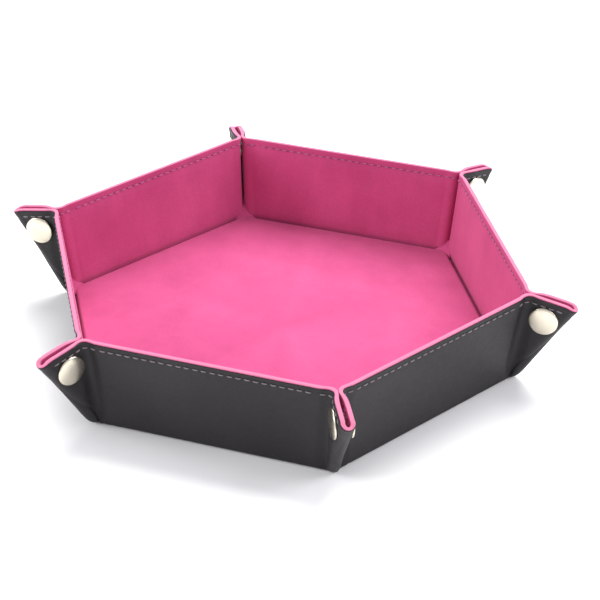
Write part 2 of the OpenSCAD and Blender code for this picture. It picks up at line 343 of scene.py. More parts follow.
def new_object(name, verts, faces, material, smooth_angle=40.0):
    """Mesh object from points in millimetres, smooth but for edges sharper than the angle."""
    mesh = bpy.data.meshes.new(name)
    mesh.from_pydata([tuple(float(c) * MM for c in v) for v in verts], [], faces)
    mesh.validate()
    mesh.update()
    for polygon in mesh.polygons:
        polygon.use_smooth = True
    mesh.set_sharp_from_angle(angle=math.radians(smooth_angle))
    mesh.materials.append(material)
    return put(name, mesh)


def set_share(obj, name, values):
    """Keeps a share from 0 to 1 with each point, for the material: how much painted shade it gets in folds,
    hollows and needle holes, or how near the cut edge it is."""
    layer = obj.data.attributes.new(name, "FLOAT", "POINT")
    layer.data.foreach_set("value", np.asarray(values, np.float32))


def slab(name, place, u, v, outer, inner, material, cut=False, flip=False, shade=None, cut_edge_and_highlight=None):
    """One skin of the sheet. u and v are the grid's flat coordinates, outer and inner the depths of
    its faces, and place(u, v, depth) puts a point. With cut, the last row is a cut edge: the two
    faces stop short of it by the rounding of the rim."""
    rows, cols = u.shape
    outer = np.broadcast_to(outer, u.shape).astype(float)
    inner = np.broadcast_to(inner, u.shape).astype(float)
    iu, iv = np.zeros_like(u), np.zeros_like(v)
    if cut:
        du, dv = u[-2] - u[-1], v[-2] - v[-1]
        run = np.maximum(np.hypot(du, dv), 1e-9)
        iu[-1], iv[-1] = du / run, dv / run
    verts = [place(u + ROUNDING * iu, v + ROUNDING * iv, face).reshape(-1, 3) for face in (outer, inner)]
    ring = [(0, j) for j in range(cols)] + [(i, cols - 1) for i in range(1, rows)]
    ring += [(rows - 1, j) for j in range(cols - 2, -1, -1)] + [(i, 0) for i in range(rows - 2, 0, -1)]
    ri = np.array([i for i, _ in ring])
    rj = np.array([j for _, j in ring])
    ru, rv, rou, rin = u[ri, rj], v[ri, rj], outer[ri, rj], inner[ri, rj]
    wu, wv = iu[ri, rj], iv[ri, rj]
    # rings round the rim, as shares of its rounding: how far from the edge, and below which face
    for inset, ring_depth in (
        (0.3, rou + ROUNDING * 0.3), (0, rou + ROUNDING), (0, rin - ROUNDING), (0.3, rin - ROUNDING * 0.3),
    ):
        verts.append(place(ru + ROUNDING * inset * wu, rv + ROUNDING * inset * wv, ring_depth).reshape(-1, 3))
    verts = np.concatenate(verts)
    faces = []
    n = rows * cols
    for i in range(rows - 1):
        for j in range(cols - 1):
            q = [i * cols + j, i * cols + j + 1, (i + 1) * cols + j + 1, (i + 1) * cols + j]
            faces.append(q)
            faces.append([n + c for c in reversed(q)])
    border = [i * cols + j for i, j in ring]
    m = len(ring)
    loops = [border] + [[2 * n + s * m + c for c in range(m)] for s in range(4)] + [[n + b for b in border]]
    for first, second in zip(loops, loops[1:]):
        for c in range(m):
            d = (c + 1) % m
            faces.append([first[d], first[c], second[c], second[d]])
    if flip:
        faces = [list(reversed(f)) for f in faces]
    obj = new_object(name, verts, faces, material)
    # painted shade, and the paler cut edge with its painted highlight, go to the material as shares
    for share, values in (("crease", shade), ("edge", cut_edge_and_highlight)):
        if values is not None:
            values = np.broadcast_to(values, u.shape)
            face, rim = values.reshape(-1), values[ri, rj]
            set_share(obj, share, np.concatenate([face, face, rim, rim, rim, rim]))
    return obj


def rows_of(stops):
    """Rising numbers from (value, steps) pairs."""
    out = [stops[0][0]]
    for (a, _), (b, steps) in zip(stops, stops[1:]):
        out += [a + (b - a) * (i + 1) / steps for i in range(steps)]
    return np.array(out)


# ---------- materials ----------


class Nodes:
    """A material of one principled shader and the nodes that feed it."""

    def __init__(self, name):
        self.material = bpy.data.materials.new(name)
        self.material.use_nodes = True
        self.tree = self.material.node_tree
        self.tree.nodes.clear()
        self.out = self.add("ShaderNodeOutputMaterial")
        self.shader = self.add("ShaderNodeBsdfPrincipled")
        self.feed(self.out, "Surface", self.shader.outputs["BSDF"])
        self.coords = self.add("ShaderNodeTexCoord").outputs["Object"]

    def add(self, kind, **values):
        """New node. Each value goes to the property or else to the input of that name."""
        node = self.tree.nodes.new(kind)
        for key, value in values.items():
            if hasattr(node, key):
                setattr(node, key, value)
            else:
                node.inputs[key].default_value = value
        return node

    def feed(self, node, into, output):
        """Links an output to one of the node's inputs."""
        self.tree.links.new(output, node.inputs[into])

    def noise(self, scale, detail, rough, stretch=(1, 1, 1)):
        turn = self.add("ShaderNodeMapping", Scale=stretch)
        node = self.add("ShaderNodeTexNoise", Scale=scale, Detail=detail, Roughness=rough)
        self.feed(turn, "Vector", self.coords)
        self.feed(node, "Vector", turn.outputs["Vector"])
        return node.outputs["Fac"]

    def attribute(self, name):
        return self.add("ShaderNodeAttribute", attribute_name=name).outputs["Fac"]

    def ramp(self, source, stops):
        """Colours in place of a share, from (share, colour) stops."""
        node = self.add("ShaderNodeValToRGB")
        ends = node.color_ramp.elements
        while len(ends) < len(stops):
            ends.new(0.5)
        for end, (place, colour) in zip(ends, stops):
            end.position = place
            end.color = (*colour, 1)
        self.feed(node, "Fac", source)
        return node.outputs["Color"]

    def mix(self, a, b, share, kind="MIX"):
        """Colour a with a share of colour b, each a fixed one or an output."""
        node = self.add("ShaderNodeMix", data_type="RGBA", blend_type=kind)
        for socket, value in ((6, a), (7, b)):
            if isinstance(value, tuple):
                node.inputs[socket].default_value = (*value, 1)
            else:
                self.feed(node, socket, value)
        if isinstance(share, float):
            node.inputs[0].default_value = share
        else:
            self.feed(node, 0, share)
        return node.outputs[2]

    def paint(self, colour):
        self.feed(self.shader, "Base Color", colour)

    def constants(self, **values):
        """Sets inputs of the shader, named with _ for each space."""
        for name, value in values.items():
            self.shader.inputs[name.replace("_", " ")].default_value = value

    def gloss(self, source, low, high):
        """Roughness that varies from low to high with a noise."""
        span = self.add("ShaderNodeMapRange", **{"To Min": low, "To Max": high})
        self.feed(span, "Value", source)
        self.feed(self.shader, "Roughness", span.outputs["Result"])

    def bumps(self, *layers):
        """Bump nodes in a row from (height, strength, distance in mm)."""
        last = None
        for height, strength, distance in layers:
            node = self.add("ShaderNodeBump", Strength=strength, Distance=distance * MM)
            self.feed(node, "Height", height)
            if last is not None:
                self.feed(node, "Normal", last)
            last = node.outputs["Normal"]
        self.feed(self.shader, "Normal", last)


def linear(r, g, b):
    """Colour on a scale to 255, as the shader takes it."""
    def one(c):
        c /= 255
        return c / 12.92 if c <= 0.04045 else ((c + 0.055) / 1.055) ** 2.4

    return one(r), one(g), one(b)


def suede_material():
    """Soft nap, with painted shade in the folds, and a paler cut edge that is partly its own tone and partly
    a painted highlight.
    """
    m = Nodes("pink_suede")
    m.constants(
        Roughness=0.92, Specular_IOR_Level=0.18, Sheen_Weight=0.35, Sheen_Roughness=0.45,
        Sheen_Tint=(1.0, 0.55, 0.75, 1),
    )
    nap = m.noise(30, 5, 0.55)
    brushed = m.noise(90, 4, 0.6, (1, 1, 0.35))
    fibre = m.noise(1500, 3, 0.7)
    base = m.ramp(
        nap, [(0.30, linear(190, 74, 124)), (0.52, linear(198, 81, 131)), (0.74, linear(204, 88, 138))],
    )
    streak = m.ramp(brushed, [(0.35, (0.86, 0.84, 0.85)), (0.62, (1.0, 1.0, 1.0))])
    fleck = m.ramp(fibre, [(0.40, (0.86, 0.80, 0.83)), (0.60, (1.04, 1.04, 1.04))])
    colour = m.mix(base, streak, 0.55, "MULTIPLY")
    colour = m.mix(colour, fleck, 0.45, "MULTIPLY")
    # painted shade: darker plum in the folds and hollows
    colour = m.mix(colour, linear(88, 14, 46), m.attribute("crease"))
    # paler cut edge: partly the edge's own tone, partly a painted highlight on the lit top edge
    m.paint(m.mix(colour, linear(206, 118, 150), m.attribute("edge")))
    m.bumps((nap, 0.25, 0.5), (fibre, 0.5, 0.10))
    return m.material


def leather_material():
    """Grained cover: rounded cells with darker pores between them."""
    m = Nodes("black_leatherette")
    m.constants(Specular_IOR_Level=0.32)
    voronoi = m.add("ShaderNodeTexVoronoi", feature="SMOOTH_F1", Scale=950)
    m.feed(voronoi, "Vector", m.coords)
    cells = voronoi.outputs["Distance"]
    grain = m.noise(420, 4, 0.6)
    broad = m.noise(26, 4, 0.55)
    fine = m.noise(2600, 2, 0.6)
    tone = m.ramp(broad, [(0.3, linear(33, 30, 32)), (0.7, linear(42, 39, 41))])
    pores = m.ramp(cells, [(0.15, (0.82, 0.82, 0.82)), (0.55, (1.05, 1.05, 1.05))])
    m.paint(m.mix(tone, pores, 0.5, "MULTIPLY"))
    m.gloss(grain, 0.46, 0.62)
    m.bumps((broad, 0.2, 0.6), (cells, 0.35, 0.12), (grain, 0.35, 0.12), (fine, 0.2, 0.03))
    return m.material


def thread_material(name, light, dark, hole):
    """Twisted thread, with painted shade where it goes down into the holes at its ends."""
    m = Nodes(name)
    m.constants(Roughness=0.7, Sheen_Weight=0.15)
    wave = m.add(
        "ShaderNodeTexWave", wave_type="BANDS", bands_direction="DIAGONAL", Scale=1500, Distortion=1.0,
    )
    m.feed(wave, "Vector", m.coords)
    twist = wave.outputs["Fac"]
    # painted shade where the thread goes down into its holes
    m.paint(m.mix(m.ramp(twist, [(0.1, dark), (0.6, light)]), hole, m.attribute("crease")))
    m.bumps((twist, 0.4, 0.05))
    return m.material


def metal_material():
    """Brushed nickel of a warm tone."""
    m = Nodes("nickel_cap")
    m.constants(Metallic=1.0)
    brushed = m.noise(700, 4, 0.6, (1, 1, 0.15))
    cloudy = m.noise(160, 3, 0.5)
    m.paint(m.ramp(cloudy, [(0.3, (0.66, 0.60, 0.49)), (0.7, (0.75, 0.69, 0.57))]))
    m.gloss(brushed, 0.20, 0.30)
    m.bumps((brushed, 0.08, 0.02))
    return m.material


def board_material():
    """Grey-brown board of the stiffeners."""
    m = Nodes("greyboard")
    m.constants(Roughness=0.9)
    pulp = m.noise(500, 5, 0.7)
    m.paint(m.ramp(pulp, [(0.3, (0.28, 0.22, 0.15)), (0.7, (0.42, 0.35, 0.26))]))
    m.bumps((pulp, 0.3, 0.1))
    return m.material


SUEDE = suede_material()
LEATHER = leather_material()
# light and dark of the twist, then the painted shade in the needle holes
PINK_THREAD = thread_material("pink_thread", linear(196, 112, 158), linear(150, 62, 112), linear(62, 14, 40))
GREY_THREAD = thread_material("grey_thread", linear(134, 124, 131), linear(98, 89, 95), linear(12, 10, 12))
METAL = metal_material()
BOARD = board_material()


def dress(obj, body):
    """Fastens a piece to a rigid body."""
    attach(obj, body)
    return obj


# ---------- floor ----------

# distance from the middle to the edge of the floor's own piece
FLOOR_EDGE = 80.9
# the lining over the floor's board ends in a rounded edge, right beside the fold
PILLOW_EDGE = 82.7
PILLOW_ROUND = 1.2
# columns of the floor's grid along each of its sides
SIDE_COLUMNS = 16


def floor_piece(name, layer):
    """Skin of the floor as one hexagonal grid: rings from the middle, columns round it. Face 0 is
    the lower one, face 1 the upper one."""
    lining = layer == "lining"
    stops = [(0.6, 0), (20, 3), (60, 5), (76, 4), (FLOOR_EDGE, 6)]
    radii = rows_of(stops + [(PILLOW_EDGE, 10)] if lining else stops)
    rings, count = len(radii), 6 * SIDE_COLUMNS
    side, step = np.divmod(np.arange(count), SIDE_COLUMNS)
    turn, along = side * 2 * HALF_TURN, step / SIDE_COLUMNS * 2 - 1
    verts, shade = [], []

    def add_ring(r, depth, dark):
        x, y = spin(r, along * r * math.tan(HALF_TURN), turn)
        verts.extend(np.stack([x, y, np.full(count, depth)], -1))
        shade.extend([dark] * count)

    under = LINING_FROM if lining else 0.0
    # painted shade: the lower face dark throughout, and the upper face darker at the rounded edge beside the
    # fold
    for r in radii:
        add_ring(r, under if r <= FLOOR_EDGE else SHEET - 0.1, 0.6)
    for r in radii:
        over = min(max((r - PILLOW_EDGE + PILLOW_ROUND) / PILLOW_ROUND, 0.0), 1.0)
        upper = SHEET + FLOOR_BOARD * math.sqrt(1 - over**2) if lining else COVER
        add_ring(r, upper, 0.25 * float(ease((r - PILLOW_EDGE + 0.7) / 0.7)))
    faces = []
    for face in (0, 1):
        base, hub = face * rings * count, len(verts)
        verts.append((0, 0, verts[base][2]))
        shade.append(0.0)
        for c in range(count):
            d = (c + 1) % count
            ring = [[hub, base + d, base + c]]
            for at in range(base, base + (rings - 1) * count, count):
                ring.append([at + c, at + d, at + count + d, at + count + c])
            faces += [list(reversed(q)) for q in ring] if face else ring
    low, high = (rings - 1) * count, (2 * rings - 1) * count
    for c in range(count):
        d = (c + 1) % count
        faces.append([low + c, low + d, high + d, high + c])
    obj = new_object(name, verts, faces, SUEDE if lining else LEATHER, 50)
    if lining:
        set_share(obj, "crease", shade)
    return obj


floor_lining = dress(floor_piece("suede_floor", "lining"), "base")
floor_cover = dress(floor_piece("leather_floor", "cover"), "base")
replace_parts(floor_lining, "base_lining")
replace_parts(floor_cover, "base_cover")

# ---------- walls ----------


def board_relief(up):
    """How far the lining stands out over the wall boards."""
    return 0.26 * ease((up - 2.4) / 5.4) * ease((38.4 - up) / 5.2)


def stitch_groove(below):
    """Share by which the seam draws the sheet in, at a distance below the edge."""
    return bump(below, STITCH_LINE, 0.8)


def lining_rim(below):
    """Outer depth of the lining at a distance below the edge, and the share by which it is cut edge, which
    the material paints paler: partly the edge's own tone, partly a painted highlight.
    """
    wrapped = ease((EDGE + 0.25 - below) / 0.3)
    return LINING_FROM - (COVER - RIM_DEPTH) * wrapped, ease((EDGE - below) / EDGE)


def fold_shade(up):
    """Painted shade: how dark the suede is made in the fold at the foot of a wall."""
    return 0.3 * ease(1.0 - up) + 0.06 * ease((5 - up) / 4)


def fold_press(up):
    """How far the cover is pressed in along the fold at the foot of a wall."""
    return 0.24 * bump(up, 0.0, 1.6)


def wall_place(along, up, depth):
    """Point of the wall across +X, with the bottom corners at its two ends drawn in."""
    points = wall_point(along, up, depth)
    side = np.where(along < 0, -1.0, 1.0)
    x, y = spin(points[..., 0], side * points[..., 1], -HALF_TURN)
    x, y, z = np.moveaxis(round_foot(np.stack([x - CORNER, y, points[..., 2]], -1)), -1, 0)
    x, y = spin(x + CORNER, y, HALF_TURN)
    return np.stack([x, side * y, z], -1)


def wall_grid(top):
    """Flat coordinates of a wall's own piece: the fold, and the wall between its two ears."""
    start = FLOOR_EDGE - APOTHEM + FLOOR_TAKEN
    ups = rows_of([(start, 0), (2.4, 16), (10.8, 10), (30, 8), (35.5, 7), (RISE - 1.4, 9), (top, 7)])
    across = rows_of([(-1, 0), (-0.90, 8), (0.90, 26), (1, 8)])
    up, share = np.meshgrid(ups, across, indexing="ij")
    mitre = wall_flat(up) * math.tan(HALF_TURN)
    half = np.where(up < 0.2, mitre, seam_half(up))
    return share * half, up


def wall_piece(k, layer):
    """One skin of a wall, with its half of the fold and up to the bends at its ends."""
    along, up = wall_grid(RISE if layer == "lining" else RISE - EDGE)
    below = RISE - up
    rng = np.random.default_rng(10 * k + (layer == "lining"))
    phase = rng.uniform(0, 6.28, 4)
    # the sheet isn't quite flat over the board
    wave = np.sin(along / 17 + phase[0]) * np.sin(up / 13 + phase[1])
    wave = wave + 0.6 * np.sin(along / 8.5 + phase[2] + up / 19)
    hold = ease(up / 8) * ease(below / 4) * ease((seam_half(up) - np.abs(along)) / 8)

    def place(s, u, d):
        return at_wall(k, wall_place(s, u, d))

    if layer == "lining":
        outer, cut_edge_and_highlight = lining_rim(below)
        inner = SHEET + board_relief(up) + 0.04 * wave * hold - 0.16 * stitch_groove(below)
        # painted shade in the fold at the foot of the wall
        return slab(
            f"suede_wall_{k}", place, along, up, outer, inner, SUEDE,
            cut=True, flip=True, shade=fold_shade(up), cut_edge_and_highlight=cut_edge_and_highlight,
        )
    outer = -0.10 * wave * hold + 0.14 * stitch_groove(below) + fold_press(up)
    return slab(f"leather_wall_{k}", place, along, up, outer, COVER, LEATHER, cut=True, flip=True)


# height of the points that stand for an ear's middle
MIDWAY = 20.0


def fold_line(k):
    """Ends of the stretch over which the fold of wall k turns."""
    c, s = math.cos(LIFT / 2), math.sin(LIFT / 2)
    span = FLOOR_SPREAD * math.cos(LIFT / 2)
    ends = [np.array([FOLD_X + side * span * c, 0.0, FOLD_Z + side * span * s]) for side in (-1, 1)]
    return [tuple(at_wall(k, e) * MM) for e in ends]


def ear_line(k, half):
    """Ends of the stretch over which the bend of an ear turns."""
    span = EAR_SPREAD * math.cos(LEAF_BEND / 2)
    ends = []
    for side in (-1, 1):
        p = EAR_P + side * span * math.cos(LEAF_BEND / 2)
        q = EAR_Q - side * span * math.sin(LEAF_BEND / 2)
        ends.append(tuple(at_corner(k, from_ear(p, q, MIDWAY), half) * MM))
    return ends


# the lining and the cover of each wall, in place of the solid's skins
for k in range(1, 7):
    for layer, material in (("lining", SUEDE), ("cover", LEATHER)):
        piece = wall_piece(k, layer)
        start, end = fold_line(k)
        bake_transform(piece)
        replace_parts(piece, f"wall_{layer}_{k}")

# ---------- ears ----------

EAR_COLUMNS = rows_of([(0, 0), (0.35, 14), (1, 16)])
LOOP_COLUMNS = np.linspace(1, 2, 15)
# centre of the press stud, across the ear and up it
CAP_P = END_RUN + CAP_WIDTH / 2 + 0.2
CAP_R = rim_line(CAP_P) - STUD_DROP


def ear_grid(columns, top):
    """Columns across the ear and heights up it, with close rows at its top edge."""
    main = rows_of([(0, 0), (0.16, 10), (0.84, 18), (1, 8)])
    drops = np.concatenate([np.full(len(main), 1.4), rows_of([(1.4, 0), (top, 7)])[1:]])
    shares = np.concatenate([main, np.ones(7)])
    drop, a = np.meshgrid(drops, columns, indexing="ij")
    share, _ = np.meshgrid(shares, columns, indexing="ij")
    return a, ear_r(a, share, drop)


def ear_slab(name, columns, layer, k, half, material):
    """One skin of half an ear, or of the loop along its folded edge, as the columns say."""
    a, r = ear_grid(columns, 0.0 if layer == "lining" else EDGE)
    p, _ = ear_curve(a, r, 0.0)
    across = flat_across(a, r)
    up = up_of(across, r)
    below = ear_top(a) - r
    away = np.hypot(p - CAP_P, r - CAP_R)

    def place(s, t, d):
        return at_corner(k, ear_point(s, t, d), half)

    if layer == "lining":
        outer, cut_edge_and_highlight = lining_rim(below)
        drawn = 0.30 * bump(away, 0, 7.0) * ease((2.0 - a) / 0.6) * ease((across - 2) / 3)
        relief = board_relief(up) * (1 - ease((across - EAR_SEAM) / 4.5))
        inner = SHEET - 0.16 * stitch_groove(below) + drawn + relief
        # painted shade in the fold at the foot, and darker along the loop inside the folded edge
        shade = fold_shade(up) + 0.22 * ease(a - 1)
    else:
        # the sheet swells a little round the cap that presses it
        swell = ease((away - CAP_WIDTH / 2 + 0.3) / 3.0) * ease((r - 10) / 10) * ease((across + 2) / 5)
        outer = -0.22 * np.where(a <= 1, swell, swell * (2 - a)) + 0.14 * stitch_groove(below)
        outer = outer + fold_press(up) * ease(1 - a)
        inner, shade, cut_edge_and_highlight = COVER, None, None
    return slab(
        name, place, a, r, outer, inner, material, cut=True, flip=half == "b", shade=shade, cut_edge_and_highlight=cut_edge_and_highlight,
    )


ears = {}
for k in range(1, 7):
    for half in "ab":
        for layer, material in (("lining", SUEDE), ("cover", LEATHER)):
            skin = "suede" if layer == "lining" else "leather"
            ear = ear_slab(f"{skin}_ear_{k}{half}", EAR_COLUMNS, layer, k, half, material)
            start, end = ear_line(k, half)
            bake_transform(ear)
            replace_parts(ear, f"ear_{layer}_{k}{half}")
            loop = ear_slab(f"{skin}_fold_{k}{half}", LOOP_COLUMNS, layer, k, half, material)
            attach(loop, f"ear_{k}{half}")
            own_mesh(loop)
            ears[layer, k, half] = ear, loop

# ---------- strips under the folded edges ----------


def fold_frame():
    """In the frame of the corner: the direction out across the fold line in the plane of the ear,
    the direction out of the ear, and the foot of the fold line midway between the two ears."""
    lean, tilt = FOLD_LEAN, LEAF_TILT
    out = np.array([
        math.cos(lean) * math.cos(tilt) - math.sin(lean) * math.sin(tilt),
        0.0,
        -math.cos(lean) * math.sin(tilt) - math.sin(lean) * math.cos(tilt),
    ])
    p = FOLD_START + NOSE_OUT
    return out, np.array([0.0, 1.0, 0.0]), from_ear(p, 0.0, 0.0)


def fold_strip(k, half):
    """A strip of lining inside the ear's sheet, along its folded edge."""
    base = FOLD_START + NOSE_OUT
    crown = TIP_CZ / math.cos(FOLD_LEAN)
    # where it begins up the fold line, how far it is from that line and from the tip, and its width
    low, inset, tip_gap, widest = 8.0, 2.9, 1.9, 7.2
    t, s = np.meshgrid(np.linspace(0, 1, 24), np.linspace(0, 1, 6), indexing="ij")

    def place(t, s, d):
        rough = low + t * (crown + TIP_RADIUS - low)
        back = inset + s * np.clip((rough - low) * 0.42, 0.5, widest)
        run = low + t * (crown + np.sqrt(np.maximum(TIP_RADIUS**2 - back**2, 1.0)) - tip_gap - low)
        p = base + run * math.sin(FOLD_LEAN) - back * math.cos(FOLD_LEAN)
        r = run * math.cos(FOLD_LEAN) + back * math.sin(FOLD_LEAN)
        return at_corner(k, from_ear(p, FOLD_R - d, r), half)

    # painted shade: the whole strip a little darker, as it lies inside the fold
    piece = slab(f"suede_strip_{k}{half}", place, t, s, 1.12, 1.58, SUEDE, flip=half == "a", shade=0.12)
    dress(piece, f"ear_{k}{half}")
    out, beside, foot = fold_frame()
    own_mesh(piece)
    return piece


def fold_toe(k, half):
    """Half of the full, round lower end of the folded edge: near the corner of the floor the cover can't fold
    sharply."""
    out, beside, foot = fold_frame()
    # half its width, and the angle over which its section turns
    half_width, wrap = 2.5, math.radians(84)
    t, s = np.meshgrid(np.linspace(0, 1, 30), np.linspace(-0.05, 1, 12), indexing="ij")
    # along the fold line, out across it, and how deep the section is there
    shape = np.array([
        (-0.2, -0.85, 1.0), (0.6, 0.07, 1.4), (1.7, 0.88, 2.2), (3.5, 1.38, 3.2), (5.5, 1.46, 3.6),
        (7.8, 1.36, 3.7), (10.7, 1.20, 3.7), (15.4, 0.92, 3.6), (20, 0.66, 3.4), (25, 0.40, 3.2),
        (30, 0.17, 2.9), (34.5, -0.04, 2.6), (38, -0.25, 2.4),
    ])
    line = np.stack([
        foot[0] + out[0] * shape[:, 1] - out[2] * shape[:, 0],
        foot[2] + out[2] * shape[:, 1] + out[0] * shape[:, 0],
        shape[:, 2],
    ], -1)

    def place(t, s, d):
        at = t * (len(line) - 1)

        def along(i, step):
            return sum(
                share * np.interp(at + step + shift, range(len(line)), line[:, i])
                for share, shift in ((0.25, -0.5), (0.5, 0.0), (0.25, 0.5))
            )

        x, z, deep = along(0, 0), along(1, 0), along(2, 0)
        dx, dz = along(0, 0.4) - along(0, -0.4), along(1, 0.4) - along(1, -0.4)
        run = np.hypot(dx, dz)
        turn = s * wrap
        taper = 1 - 0.75 * ease((t - 0.45) / 0.55)
        lift = deep * taper * (1 - np.cos(turn)) + d
        wide = half_width * taper * np.sin(turn) * (1 - 0.15 * d)
        return at_corner(k, np.stack([x - dz / run * lift, wide, z + dx / run * lift], -1), half)

    piece = slab(f"leather_toe_{k}{half}", place, t, s, 0.0, 0.7, LEATHER, flip=half == "b")
    dress(piece, f"ear_{k}{half}")
    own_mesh(piece)
    return piece


# a strip of lining and a toe of cover along the folded edge of each half ear
for (layer, k, half), (ear, loop) in ears.items():
    lower = fold_strip(k, half) if layer == "lining" else fold_toe(k, half)

# ---------- corners of the floor ----------


def corner_gusset(k):
    """Where the sheet runs from a corner of the floor up into the pocket of the ear, it shows as a
    small sloping three-cornered facet between the ends of two walls, and then as the pocket's bottom."""
    t, s = np.meshgrid(np.linspace(0, 2, 27), np.linspace(-1, 1, 15), indexing="ij")
    # the pocket's bottom, out from the corner and up
    pocket = np.array([(-0.9, 7.35), (1.2, 8.1), (3.6, 10.1), (6.2, 13.8), (9.5, 18.9)])

    def place(t, s, d):
        low, far = np.clip(t, 0, 1), np.clip(t - 1, 0, 1) * 4
        wide = 4.5 * (1 - low) ** 1.15 + 0.8
        hollow = 0.35 * np.sin(math.pi * low) * (1 - s**2)
        x = -5.0 + 4.1 * low + 0.8 * d - hollow * 0.5
        z = 2.15 + 5.2 * low**1.1 - 0.62 * d - hollow * 0.4 + 0.25 * s * s * (1 - low)
        x = x + np.interp(far, range(5), pocket[:, 0]) - pocket[0, 0]
        z = z + np.interp(far, range(5), pocket[:, 1]) - pocket[0, 1]
        return at_corner(k, np.stack([x, s * wide, z], -1))

    # painted shade: darker at the foot, a little up the facet, and in the pocket's bottom
    shade = 0.14 * ease((t - 0.35) / 0.65) + 0.30 * ease((0.16 - t) / 0.16) + 0.3 * ease(t - 1)
    piece = slab(f"suede_gusset_{k}", place, t, s, 0.7, 0.0, SUEDE, shade=shade)
    dress(piece, "base")
    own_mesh(piece)
    return piece


def corner_pleat(k):
    """The cover at the very end of the folded edge, one strip from ear to ear inside their skins."""
    t, s = np.meshgrid(np.linspace(0, 1, 16), np.linspace(-1, 1, 9), indexing="ij")

    def place(t, s, d):
        width = 0.07 + 0.10 * (1 - t) ** 2
        points = ear_point(2 - width * np.abs(s), 0.5 + 9.5 * t, d)
        points[..., 1] *= np.sign(s)
        return at_corner(k, points)

    piece = slab(f"leather_pleat_{k}", place, t, s, 0.14, 0.60, LEATHER, flip=True)
    dress(piece, "base")
    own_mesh(piece)
    return piece


gussets = [corner_gusset(k) for k in range(1, 7)]
pleats = [corner_pleat(k) for k in range(1, 7)]

# ---------- stitches ----------

# from stitch to stitch, and the length of one
PITCH, STITCH = 3.4, 2.35
# a stitch from end to end: share of its length, rise over the sheet, width, and how dark it is, which is
# painted shade at the ends where it goes into the holes
STITCH_SHAPE = np.array([
    (-0.10, 0.02, 0.10, 1), (0.0, 0.03, 0.27, 1), (0.05, 0.03, 0.24, 0.6), (0.12, 0.12, 0.26, 0.12),
    (0.12 + 0.76 / 6, 0.20, 0.30, 0), (0.12 + 1.52 / 6, 0.24, 0.31, 0), (0.50, 0.25, 0.31, 0),
    (0.88 - 1.52 / 6, 0.24, 0.31, 0), (0.88 - 0.76 / 6, 0.20, 0.30, 0), (0.88, 0.12, 0.26, 0.12),
    (0.95, 0.03, 0.24, 0.6), (1.0, 0.03, 0.27, 1), (1.10, 0.02, 0.10, 1),
])
# sides of the thread
TUBE_SIDES = 6


def tube(path, normals, widths):
    """Thread along a path: flat on the sheet, narrower at its ends."""
    verts, faces = [], []
    n = len(path)
    tangent = np.gradient(path, axis=0)
    for i in range(n):
        t = tangent[i] / np.linalg.norm(tangent[i])
        up = normals[i] - t * np.dot(normals[i], t)
        up /= np.linalg.norm(up)
        across = np.cross(t, up)
        for c in range(TUBE_SIDES):
            a = 2 * math.pi * c / TUBE_SIDES
            verts.append(path[i] + widths[i] * (math.cos(a) * across + 0.72 * math.sin(a) * up))
    for i in range(0, (n - 1) * TUBE_SIDES, TUBE_SIDES):
        for c in range(TUBE_SIDES):
            d = (c + 1) % TUBE_SIDES
            faces.append([i + c, i + TUBE_SIDES + c, i + TUBE_SIDES + d, i + d])
    faces.append(list(range(TUBE_SIDES)))
    faces.append(list(reversed(range((n - 1) * TUBE_SIDES, n * TUBE_SIDES))))
    return verts, faces


def thread_line(name, material, sample, total, seed):
    """Stitches along a line, each down into a hole at both its ends. sample(t) gives points and
    outward normals for lengths t."""
    rng = random.Random(seed)
    verts, faces, holes = [], [], []
    share, rise, width, dark = STITCH_SHAPE.T
    at = 0.55
    while at + STITCH < total + 0.2:
        points, normals = sample(at + STITCH * share + rng.uniform(-0.12, 0.12))
        points = points + normals * (rise * rng.uniform(0.9, 1.1))[:, None]
        v, f = tube(points, normals, width * rng.uniform(0.92, 1.08))
        faces += [[len(verts) + c for c in face] for face in f]
        verts += v
        # painted shade at both ends of each stitch
        holes += list(np.repeat(dark, TUBE_SIDES))
        at += PITCH
    obj = new_object(name, verts, faces, material)
    set_share(obj, "crease", holes)
    return obj


def surface_line(place, depth, ts):
    """Points of place(t, depth) and their normals, out of the face at that depth."""
    here = place(ts, depth)
    step = 0.2 if depth < COVER else -0.2
    deeper = place(ts, depth + step)
    normal = here - deeper
    return here, normal / np.linalg.norm(normal, axis=-1, keepdims=True)


def wall_thread(name, material, k, inside):
    """Stitches below the rim of a wall, on its outer or its inner face."""
    depth = SHEET - STITCH_SINK if inside else STITCH_SINK
    half = float(seam_half(RISE - STITCH_LINE))

    def place(t, d):
        return at_wall(k, wall_point(t - half, np.full_like(t, RISE - STITCH_LINE), np.full_like(t, d)))

    return thread_line(name, material, lambda t: surface_line(place, depth, t), 2 * half, 40 * k + inside)


def ear_track(k, half, depth):
    """Line below the top edge of an ear, as a function of length along it."""
    a = np.linspace(0.02, 1.0, 240)
    r = ear_top(a) - STITCH_LINE
    flat = ear_point(a, r, np.full_like(a, depth))
    run = np.concatenate([[0], np.cumsum(np.linalg.norm(np.diff(flat, axis=0), axis=1))])

    def place(t, d):
        s = np.interp(t, run, a)
        return at_corner(k, ear_point(s, np.interp(t, run, r), np.full_like(s, d)), half)

    return place, run[-1]


def ear_thread(name, material, k, half, inside):
    """Stitches below the top edge of half an ear, on its outer or its inner face."""
    depth = SHEET - STITCH_SINK if inside else STITCH_SINK
    place, total = ear_track(k, half, depth)
    return thread_line(name, material, lambda t: surface_line(place, depth, t), total, 7 * k + inside)


for k in range(1, 7):
    for inside, material in ((0, GREY_THREAD), (1, PINK_THREAD)):
        side = "in" if inside else "out"
        dress(wall_thread(f"stitches_wall_{k}_{side}", material, k, inside), f"wall_{k}")
        for half in "ab":
            obj = ear_thread(f"stitches_ear_{k}{half}_{side}", material, k, half, inside)
            start, end = ear_line(k, half)
            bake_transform(obj)

# ---------- press studs ----------


